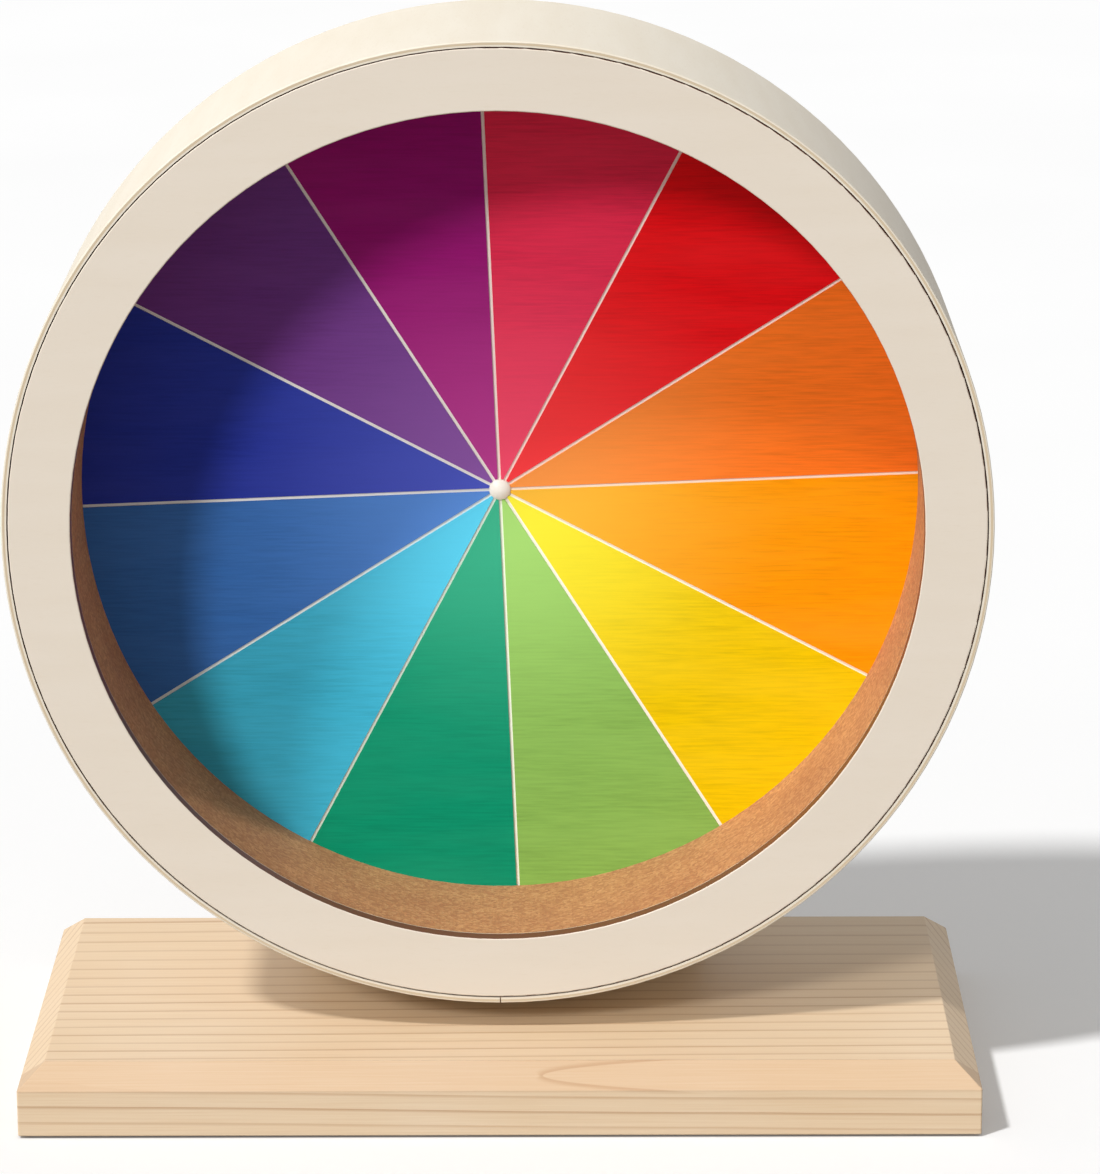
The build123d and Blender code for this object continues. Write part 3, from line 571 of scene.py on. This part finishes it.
# %% Make turned beech
tree, shader, millimetres = start_finish("turned_beech", 0.55)
dash = grain_noise(tree, millimetres, 1, 1.6, 1 / 3.5, {"Detail": 2.0})
colour = lay_over(tree, linear("#DDB98F"), linear("#B98A5E"), dash, 0.55, 0.72, 0.6)
tree.links.new(colour, shader.inputs["Base Color"])
raise_surface(tree, shader, dash, 0.03, 0.4)
print("finishes with beech:", len(finishes))

# %% [markdown]
# ## Dress the solids
# Each solid keeps its shape and gets the finish of what it is made of. Most pieces can take it from their
# material slot, as all zinc-plated screws look alike. Five wooden pieces have their own finish, because
# their grain or their layers follow the piece: the ring, the skin and its splice, the base and the upright.

# %% Hand out the finishes
FINISH_OF_SLOT = {
    "birch_plywood": "sanded_birch_hoop",
    "birch_disc": "sanded_birch_disc",
    "track_plywood": "bent_ply_track",
    "cork": "bound_cork_sheet",
    "beech": "turned_beech",
    "steel": "ground_steel",
    "zinc_screw": "zinc_plated_steel",
    "aluminium": "turned_aluminium",
    "bearing_steel": "polished_bearing_steel",
    "cage_nylon": "natural_nylon",
    "cap_plastic": "moulded_cap",
    "pad_rubber": "soft_grey_rubber",
}
FINISH_OF_NODE = {
    "front_ring": "sanded_birch_ring",
    "outer_skin": "bent_birch_skin",
    "skin_splice": "bent_birch_skin",
    "base_board": "planed_pine_base",
    "upright": "planed_pine_upright",
}
for stain in STAINS:
    FINISH_OF_SLOT["veneer_" + stain] = "stained_veneer_" + stain
slot_of = {part["node"]: part["material_slot"] for part in frame["record"]["subparts"]}
for name, piece in nodes.items():
    finish = finishes[FINISH_OF_NODE.get(name) or FINISH_OF_SLOT[slot_of[name]]]
    if not piece.material_slots:
        piece.data.materials.append(finish)
    for holder in piece.material_slots:
        holder.material = finish
print("dressed:", len(nodes), "finishes:", len(finishes))

# %% [markdown]
# ## Hardware
# Seen from behind, the axle ends in a cut thread with a lock nut on it, and button-head screws hold the
# bearing housing. The solids have them as plain cylinders. A few helpers do what a hand does in the
# viewport: draw an outline point by point, turn it round the axle line, cut one shape with another, and
# settle the finished piece on its body.


# %% Helpers for modelling
MERGE_WITHIN = 0.002 * MM
SMOOTH_BELOW = radians(32)


def clear_selection():
    """Leaves edit mode and deselects everything."""
    if bpy.context.object and bpy.context.object.mode != "OBJECT":
        bpy.ops.object.mode_set(mode="OBJECT")
    bpy.ops.object.select_all(action="DESELECT")


def work_on(piece):
    """Selects one piece and makes it the active one."""
    clear_selection()
    piece.select_set(True)
    bpy.context.view_layer.objects.active = piece


def draw_outline(points):
    """Draws an outline of (radius, height) points in mm in the XZ plane, by extruding one corner on and on."""
    clear_selection()
    radius, height = points[0]
    bpy.ops.mesh.primitive_plane_add(size=MM, location=(0, 0, 0))
    bpy.ops.object.mode_set(mode="EDIT")
    bpy.ops.mesh.select_all(action="SELECT")
    bpy.ops.mesh.merge(type="CENTER")
    bpy.ops.transform.translate(value=(radius * MM, 0, height * MM))
    for (r0, h0), (r1, h1) in zip(points, points[1:]):
        step = ((r1 - r0) * MM, 0, (h1 - h0) * MM)
        bpy.ops.mesh.extrude_region_move(TRANSFORM_OT_translate={"value": step})
    bpy.ops.mesh.select_all(action="SELECT")
    return bpy.context.object


def turn_outline(points, steps):
    """Turns a drawn outline once round Z into a solid of revolution."""
    piece = draw_outline(points)
    bpy.ops.mesh.spin(steps=steps, angle=2 * pi, center=(0, 0, 0), axis=(0, 0, 1))
    bpy.ops.mesh.select_all(action="SELECT")
    bpy.ops.mesh.remove_doubles(threshold=MERGE_WITHIN)
    bpy.ops.mesh.normals_make_consistent(inside=False)
    bpy.ops.object.mode_set(mode="OBJECT")
    return piece


def cut_with(piece, cutter, operation):
    """Cuts or keeps what two pieces share, and removes the cutter."""
    work_on(piece)
    tool = piece.modifiers.new("cut", "BOOLEAN")
    tool.operation = operation
    tool.object = cutter
    tool.solver = "EXACT"
    bpy.ops.object.modifier_apply(modifier=tool.name)
    bpy.data.objects.remove(cutter)
    return piece


def join_pieces(pieces):
    """Joins copies into one piece."""
    work_on(pieces[0])
    for other in pieces[1:]:
        other.select_set(True)
    bpy.ops.object.join()
    return bpy.context.object


def settle(piece, name, finish, body, replaced=None):
    """Puts a piece's place into its mesh, smooths it, and hands it its finish and its body."""
    work_on(piece)
    bpy.ops.object.transform_apply(location=True, rotation=True, scale=True)
    bpy.ops.object.mode_set(mode="EDIT")
    bpy.ops.mesh.select_all(action="SELECT")
    bpy.ops.mesh.remove_doubles(threshold=MERGE_WITHIN)
    bpy.ops.mesh.normals_make_consistent(inside=False)
    bpy.ops.object.mode_set(mode="OBJECT")
    bpy.ops.object.shade_smooth_by_angle(angle=SMOOTH_BELOW)
    piece.name = name
    piece.data.name = name
    piece.data.materials.clear()
    piece.data.materials.append(finishes[finish])
    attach(piece, body)
    if replaced:
        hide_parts(replaced)
    print(name, "triangles:", sum(len(face.vertices) - 2 for face in piece.data.polygons))


def lay_along_axle(piece, y_mm):
    """Turns a piece's Z to the axle line, pointing back, with its foot at a place along it."""
    piece.rotation_euler = (-pi / 2, 0, 0)
    piece.location = (0, y_mm * MM, AXLE_HEIGHT)


# %% [markdown]
# The axle is an M8 rod. A thread is one V-shaped outline turned round the rod while it climbs by its pitch,
# which is what the Screw modifier does. Both ends are then cut square, and a bevelled cylinder trims the
# tip, so the nut can start on it.

# %% Cut the axle's thread
THREAD_RADIUS = 4.0
THREAD_CREST = 3.95
THREAD_CORE = 3.39
THREAD_PITCH = 1.25
THREAD_START = 69.0
TIP_BEVEL = 2.0
axle_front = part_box("axle_shaft")[0].y / MM
axle_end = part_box("axle_shaft")[1].y / MM
thread_length = axle_end - THREAD_START
ridge = [
    (THREAD_CORE, 0),
    (THREAD_CORE, 0.16),
    (THREAD_CREST, 0.56),
    (THREAD_CREST, 0.69),
    (THREAD_CORE, 1.09),
    (THREAD_CORE, THREAD_PITCH),
]
thread = draw_outline(ridge)
bpy.ops.object.mode_set(mode="OBJECT")
climb = thread.modifiers.new("climb", "SCREW")
climb.screw_offset = THREAD_PITCH * MM
climb.iterations = int(thread_length / THREAD_PITCH) + 3
climb.steps = climb.render_steps = 40
work_on(thread)
bpy.ops.object.modifier_apply(modifier=climb.name)
bpy.ops.object.mode_set(mode="EDIT")
bpy.ops.mesh.select_all(action="SELECT")
bpy.ops.mesh.remove_doubles(threshold=MERGE_WITHIN)
# Both cuts leave a part of a turn beyond the thread's ends, which the trim takes off.
for height, upper in ((0.7 * THREAD_PITCH, False), (1.6 * THREAD_PITCH + thread_length, True)):
    bpy.ops.mesh.select_all(action="SELECT")
    plane = {"plane_co": (0, 0, height * MM), "plane_no": (0, 0, 1)}
    bpy.ops.mesh.bisect(clear_outer=upper, clear_inner=not upper, **plane)
bpy.ops.mesh.select_all(action="SELECT")
bpy.ops.mesh.fill_holes(sides=0)
bpy.ops.mesh.select_all(action="SELECT")
bpy.ops.mesh.normals_make_consistent(inside=False)
bpy.ops.object.mode_set(mode="OBJECT")
lay_along_axle(thread, THREAD_START - THREAD_PITCH)
trim = turn_outline(
    [
        (0, 0),
        (THREAD_RADIUS + 1, 0),
        (THREAD_RADIUS + 1, thread_length - TIP_BEVEL),
        (THREAD_CORE - 0.2, thread_length),
        (0, thread_length),
    ],
    40,
)
lay_along_axle(trim, THREAD_START)
cut_with(thread, trim, "INTERSECT")
print("thread length in mm:", round(thread_length, 2), "turns:", round(thread_length / THREAD_PITCH, 1))

# %% [markdown]
# The rest of the axle is a plain ground rod with a small bevel at its front end. It is turned from its
# outline, and the rod and the thread are joined into one piece.

# %% Join the rod and its thread
ROD_BEVEL = 0.4
rod_length = THREAD_START - axle_front
rod = turn_outline(
    [
        (0, 0),
        (THREAD_RADIUS - ROD_BEVEL, 0),
        (THREAD_RADIUS, ROD_BEVEL),
        (THREAD_RADIUS, rod_length),
        (0, rod_length),
    ],
    48,
)
lay_along_axle(rod, axle_front)
for part in (rod, thread):
    work_on(part)
    bpy.ops.object.transform_apply(location=True, rotation=True)
settle(join_pieces([rod, thread]), "threaded_axle", "ground_steel", "wheel", "axle_shaft")

# %% [markdown]
# The lock nut is a hexagon whose corners are turned off on both faces, with a crimped collar that holds a
# nylon ring. A six-sided cylinder is kept only where a turned blank with bevelled rims overlaps it.

# %% Model the lock nut
HEX_HEIGHT = 4.9
BLANK_RADIUS = 7.55
FACE_RADIUS = 6.35
CORNER_BEVEL = 0.7
COLLAR_RADIUS = 6.0
NUT_BORE = 4.05
GROOVE_RADIUS = 4.9
RING_DEPTH = 1.3
OVERLAP = 0.01
nut_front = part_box("lock_nut")[0].y / MM
nut_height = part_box("lock_nut")[1].y / MM - nut_front
nut_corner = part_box("lock_nut")[1].x / MM
clear_selection()
middle = (0, 0, HEX_HEIGHT / 2 * MM)
bpy.ops.mesh.primitive_cylinder_add(vertices=6, radius=nut_corner * MM, depth=HEX_HEIGHT * MM, location=middle)
nut = bpy.context.object
nut.rotation_euler = (0, 0, pi / 6)
bpy.ops.object.transform_apply(location=True, rotation=True)
blank = turn_outline(
    [
        (0, -OVERLAP),
        (FACE_RADIUS, -OVERLAP),
        (BLANK_RADIUS, CORNER_BEVEL),
        (BLANK_RADIUS, HEX_HEIGHT - CORNER_BEVEL),
        (FACE_RADIUS, HEX_HEIGHT + OVERLAP),
        (0, HEX_HEIGHT + OVERLAP),
    ],
    64,
)
cut_with(nut, blank, "INTERSECT")
collar = turn_outline(
    [
        (0, HEX_HEIGHT - 0.3),
        (COLLAR_RADIUS, HEX_HEIGHT - 0.3),
        (COLLAR_RADIUS, nut_height - 0.7),
        (COLLAR_RADIUS - 0.2, nut_height - 0.25),
        (COLLAR_RADIUS - 0.7, nut_height),
        (0, nut_height),
    ],
    64,
)
cut_with(nut, collar, "UNION")
bore = turn_outline(
    [
        (0, -1),
        (NUT_BORE, -1),
        (NUT_BORE, nut_height - RING_DEPTH - 0.1),
        (GROOVE_RADIUS, nut_height - RING_DEPTH),
        (GROOVE_RADIUS, nut_height + 1),
        (0, nut_height + 1),
    ],
    48,
)
cut_with(nut, bore, "DIFFERENCE")
lay_along_axle(nut, nut_front)
settle(nut, "chamfered_lock_nut", "zinc_plated_steel", "wheel", "lock_nut")

# %% [markdown]
# The nylon ring sits in the groove under the crimped collar and grips the thread, so that the nut can't
# shake loose. Its rim is pressed round by the crimp. It is a closed outline, turned once.

# %% Model the nylon ring
RING_RADIUS = 4.88
ring_low = nut_height - RING_DEPTH
insert = turn_outline(
    [
        (NUT_BORE, ring_low),
        (RING_RADIUS, ring_low),
        (RING_RADIUS, nut_height - 0.3),
        (4.6, nut_height - 0.2),
        (4.3, nut_height - 0.25),
        (NUT_BORE, nut_height - 0.5),
        (NUT_BORE, ring_low),
    ],
    48,
)
lay_along_axle(insert, nut_front)
settle(insert, "nut_nylon_ring", "natural_nylon", "wheel")

# %% [markdown]
# Button-head screws have a low dome and a hexagon socket for a key. One screw is turned and its socket is
# cut, and the copies go round the axle at the places of the solids.


# %% Model the button-head screws
HEAD_HEIGHT = 1.8
SOCKET_SHARE = 0.42
SOCKET_CUTTER = 2.2
POINT_LENGTH = 3.0
POINT_RADIUS = 0.3
DOME_SHARES = [(1.0, 0.0), (1.0, 0.22), (0.96, 0.5), (0.87, 0.77), (0.74, 0.94), (0.6, 1.0), (0.0, 1.0)]


def model_screw(head_radius, shank_radius, shank_length, socket_radius):
    """One button-head screw that stands on the origin, its head towards +Z."""
    tip = -shank_length
    dome = [(wide * head_radius, high * HEAD_HEIGHT) for wide, high in DOME_SHARES]
    point = [(0, tip), (POINT_RADIUS, tip + POINT_RADIUS)]
    shank = [(shank_radius, tip + POINT_LENGTH), (shank_radius, 0)]
    screw = turn_outline(point + shank + dome, 36)
    clear_selection()
    socket = {"radius": socket_radius * MM, "depth": SOCKET_CUTTER * MM, "location": (0, 0, HEAD_HEIGHT * MM)}
    bpy.ops.mesh.primitive_cylinder_add(vertices=6, **socket)
    return cut_with(screw, bpy.context.object, "DIFFERENCE")


def copy_screw(screw, place_mm, turned):
    """Copies a screw with its own mesh to a place."""
    work_on(screw)
    bpy.ops.object.duplicate()
    copy = bpy.context.object
    copy.rotation_euler = turned
    copy.location = Vector(place_mm) * MM
    bpy.ops.object.transform_apply(location=True, rotation=True)
    return copy


def ring_of_screws(node, head_diameter, shank_diameter):
    """Four screws round the axle line, where the node's own screws are."""
    low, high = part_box(node)
    reach = (high.x / MM - head_diameter / 2) / cos(pi / 4)
    head = high.y / MM - HEAD_HEIGHT
    shank_length = head - low.y / MM
    screw = model_screw(head_diameter / 2, shank_diameter / 2, shank_length, SOCKET_SHARE * shank_diameter)
    copies = []
    for quarter in range(4):
        angle = pi / 4 + quarter * pi / 2
        place = (reach * cos(angle), head, AXLE_HEIGHT / MM + reach * sin(angle))
        copies.append(copy_screw(screw, place, (-pi / 2, 0, 0)))
    bpy.data.objects.remove(screw)
    return join_pieces(copies)


SCREW_SETS = [
    ("housing_screws", 6.6, 3.5, "housing_button_screws", "stand"),
    ("coupling_screws", 5.6, 3.5, "coupling_button_screws", "wheel"),
]
for node, head_diameter, shank_diameter, name, body in SCREW_SETS:
    screws = ring_of_screws(node, head_diameter, shank_diameter)
    settle(screws, name, "zinc_plated_steel", body, node)
